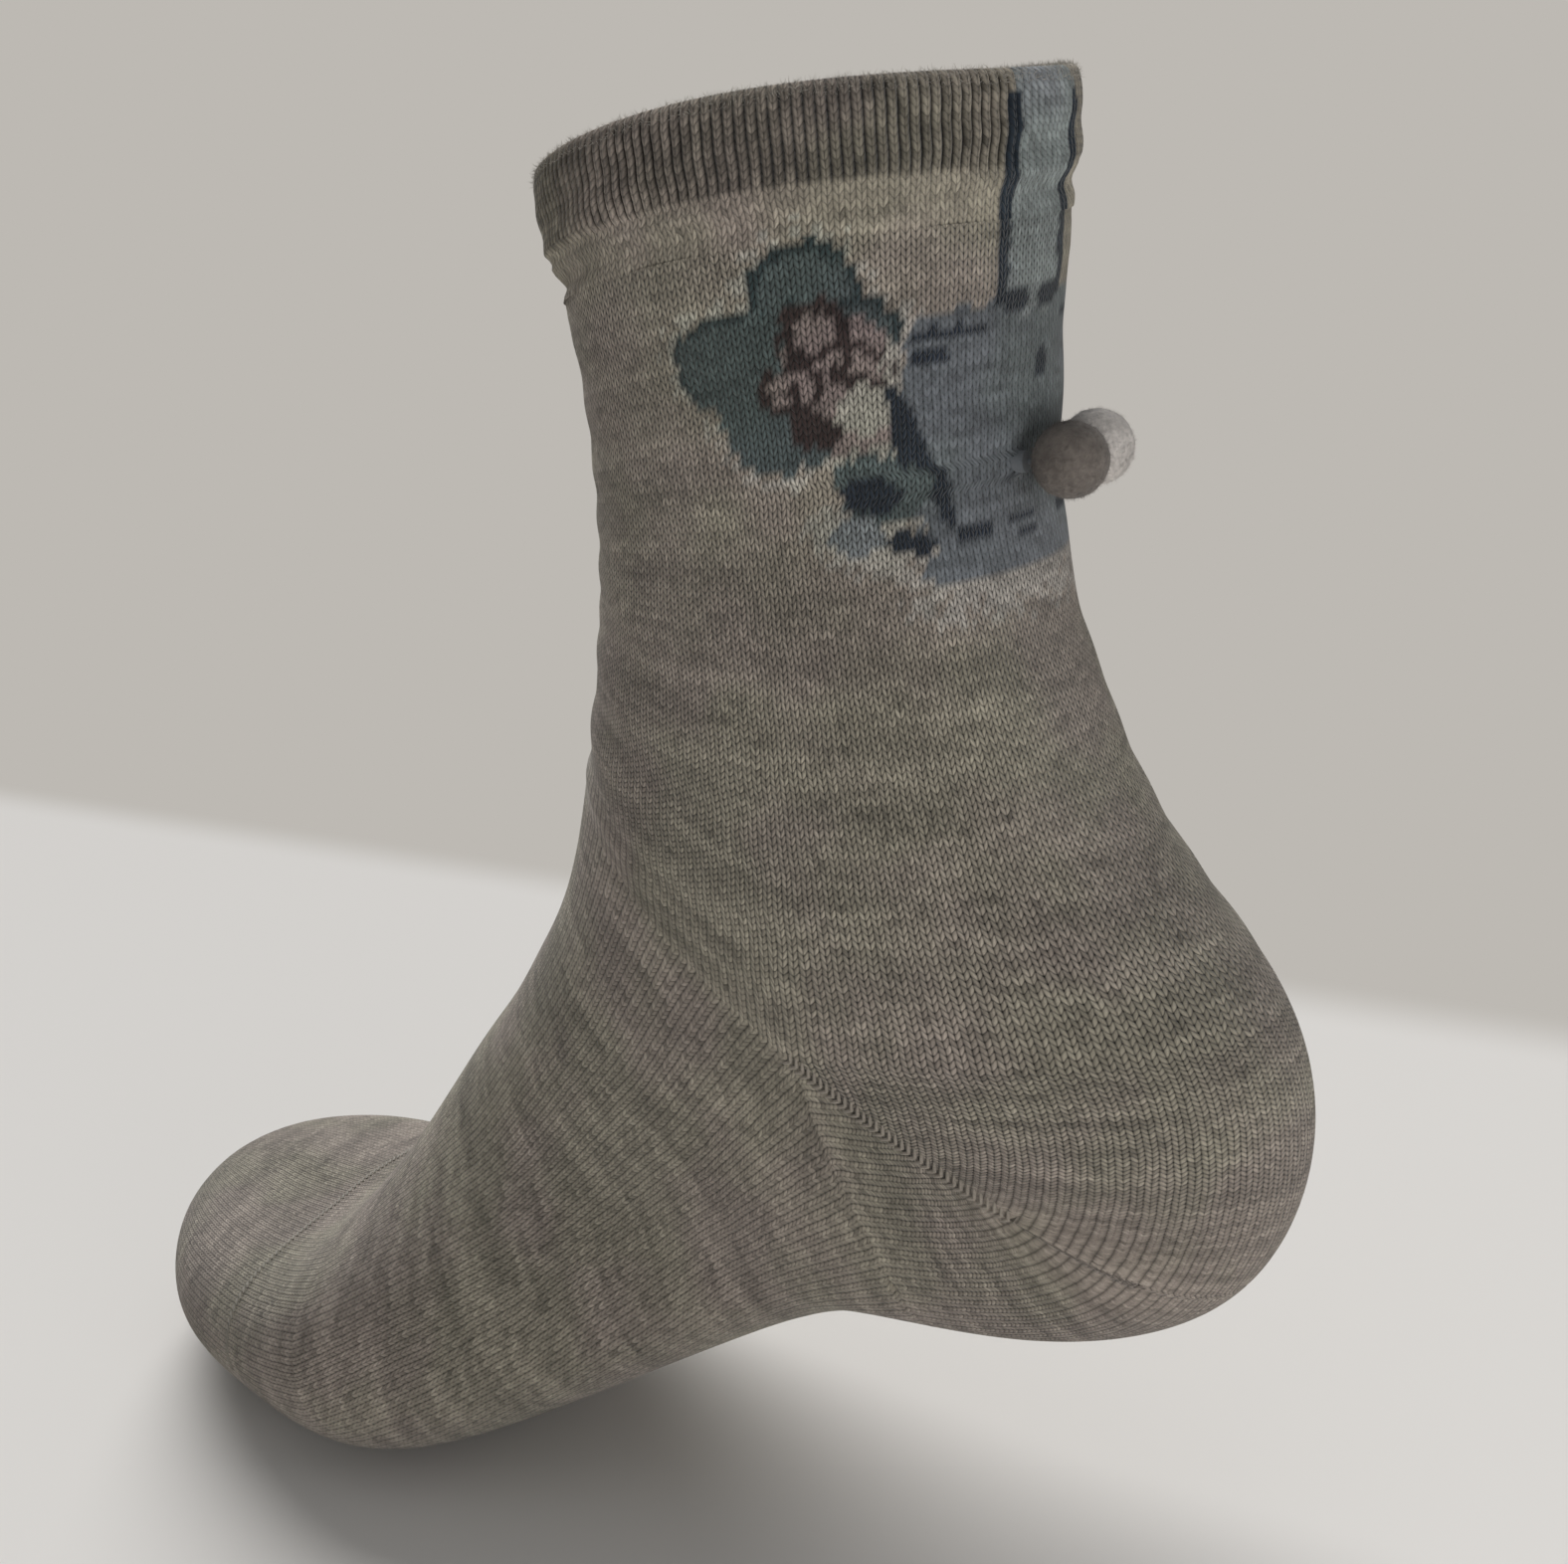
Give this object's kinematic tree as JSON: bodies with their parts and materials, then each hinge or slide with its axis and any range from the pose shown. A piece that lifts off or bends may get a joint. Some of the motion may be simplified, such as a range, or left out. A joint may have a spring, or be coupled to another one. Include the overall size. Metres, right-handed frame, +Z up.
{
  "type": "figure sock",
  "caption": "Knitted ankle sock in its worn shape, with a figure knitted into the leg and fabric-covered magnet paws clasped at the back on short elastic tethers.",
  "frame": {"origin": "middle of the leg opening, at the height of the cuff's rim", "axes": "+Z up the leg out of the opening, -Y towards the toes, +Y towards the heel and the paws, +X the outer side of the left foot"},
  "size_m": [0.0882, 0.2373, 0.2198],
  "materials": {
    "grey_knit": "melange grey single knit",
    "blue_knit": "blue-grey yarn knitted in",
    "teal_knit": "teal and pale yarns knitted in",
    "float_yarn": "loose yarn floats",
    "elastic": "covered elastic yarn",
    "seam_thread": "linking and tacking thread",
    "paw_fabric": "brushed grey plush",
    "filling": "polyester fibre",
    "magnet": "nickel-plated magnet"
  },
  "bodies": {
    "sock": {"welt": "grey_knit", "leg_tube": "grey_knit", "heel_upper": "grey_knit", "heel_lower": "grey_knit", "foot_tube": "grey_knit", "toe_top": "grey_knit", "toe_sole": "grey_knit", "figure_panel": "blue_knit", "ear_inlay": "blue_knit", "companion_panel": "teal_knit", "elastic_yarns": "elastic", "hem_row": "grey_knit", "float_yarns": "float_yarn", "heel_gore_outer": "grey_knit", "heel_gore_inner": "grey_knit", "toe_gore_outer": "grey_knit", "toe_gore_inner": "grey_knit", "toe_seam": "seam_thread", "tether_anchor_outer": "seam_thread", "tether_anchor_inner": "seam_thread"},
    "outer_tether": {"tether_outer": "elastic"},
    "inner_tether": {"tether_inner": "elastic"},
    "outer_paw": {"paw_cover_outer": "paw_fabric", "paw_filling_outer": "filling", "paw_magnet_outer": "magnet"},
    "inner_paw": {"paw_cover_inner": "paw_fabric", "paw_filling_inner": "filling", "paw_magnet_inner": "magnet"}
  },
  "joints": [
    {"name": "outer_swing", "type": "hinge", "parent": "sock", "child": "outer_tether", "pos_m": [0.005, 0.0325, -0.051], "axis": [0, 0, -1], "range_deg": [0, 20]},
    {"name": "inner_swing", "type": "hinge", "parent": "sock", "child": "inner_tether", "pos_m": [-0.005, 0.0325, -0.051], "axis": [0, 0, 1], "range_deg": [0, 20]},
    {"name": "outer_pull", "type": "slide", "parent": "outer_tether", "child": "outer_paw", "axis": [0, 1, 0], "range_m": [0, 0.005], "stiffness_N_per_m": 20},
    {"name": "inner_pull", "type": "slide", "parent": "inner_tether", "child": "inner_paw", "axis": [0, 1, 0], "range_m": [0, 0.005], "stiffness_N_per_m": 20}
  ]
}
